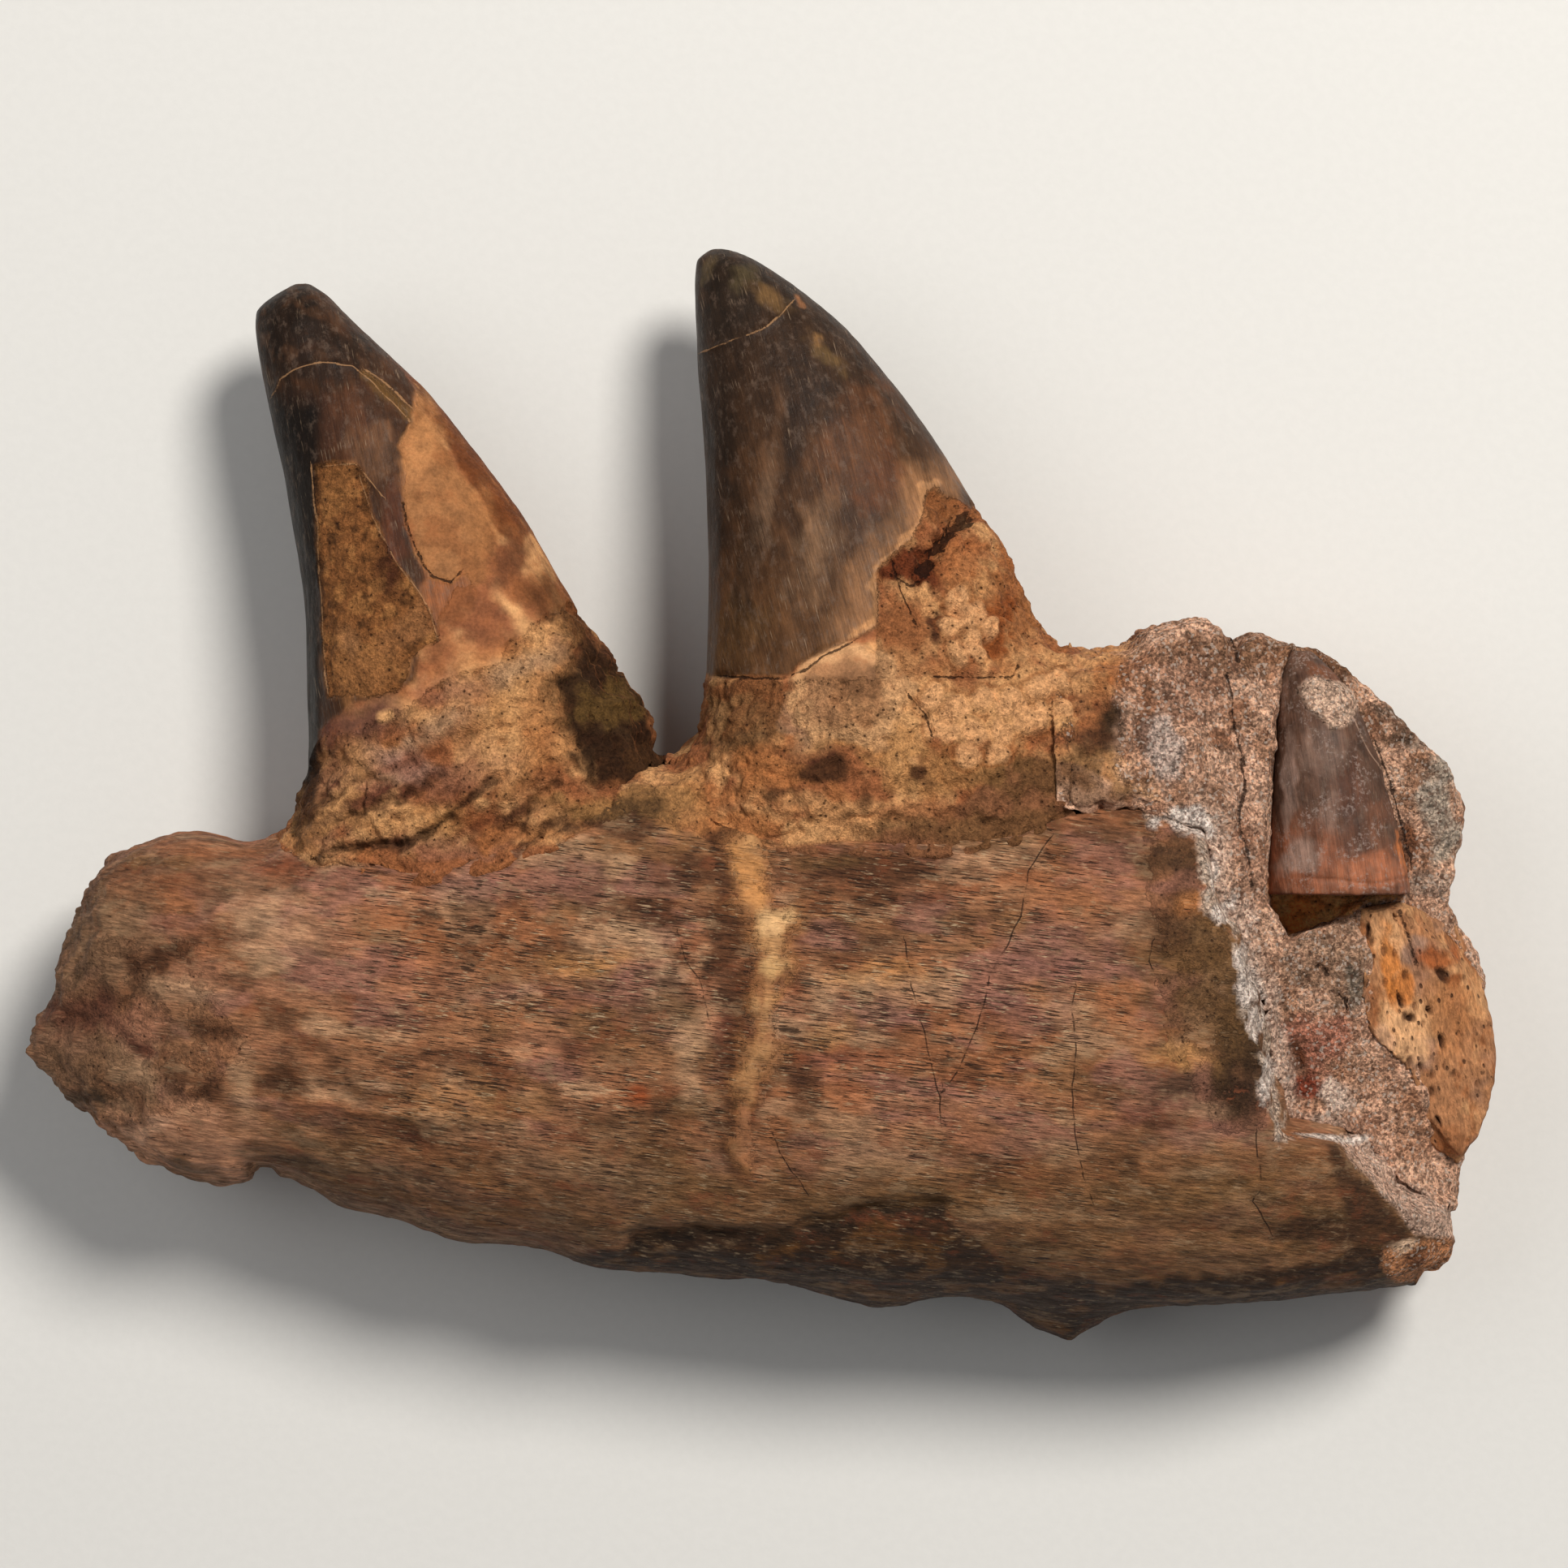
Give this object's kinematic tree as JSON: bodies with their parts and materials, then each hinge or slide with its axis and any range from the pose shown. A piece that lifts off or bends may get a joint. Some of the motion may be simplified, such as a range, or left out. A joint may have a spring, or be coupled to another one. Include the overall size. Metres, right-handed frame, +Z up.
{
  "type": "fossil mosasaur jaw section",
  "caption": "Broken section of fossil jaw bone with curved pointed teeth, and an unerupted tooth set in sandy rock at its right end.",
  "frame": {"origin": "on the ground, under the middle of the bounding box, with the fossil lying on its inner (tongue) side", "axes": "+X along the jaw towards the end with the rock, +Y the way the teeth point, +Z up, out of the outer (lip) face"},
  "size_m": [0.1802, 0.135, 0.0449],
  "materials": {
    "fossil_bone": "rough",
    "tooth_brown": "satin",
    "tooth_dark": "satin",
    "tooth_grey": "gloss",
    "spongy_root": "rough",
    "sandy_rock": "rough"
  },
  "bodies": {
    "root": {"jaw_bone": "fossil_bone", "front_tooth": "tooth_brown", "middle_tooth": "tooth_dark", "rear_tooth": "tooth_grey", "rear_tooth_root": "spongy_root", "rock_matrix": "sandy_rock"}
  },
  "joints": []
}
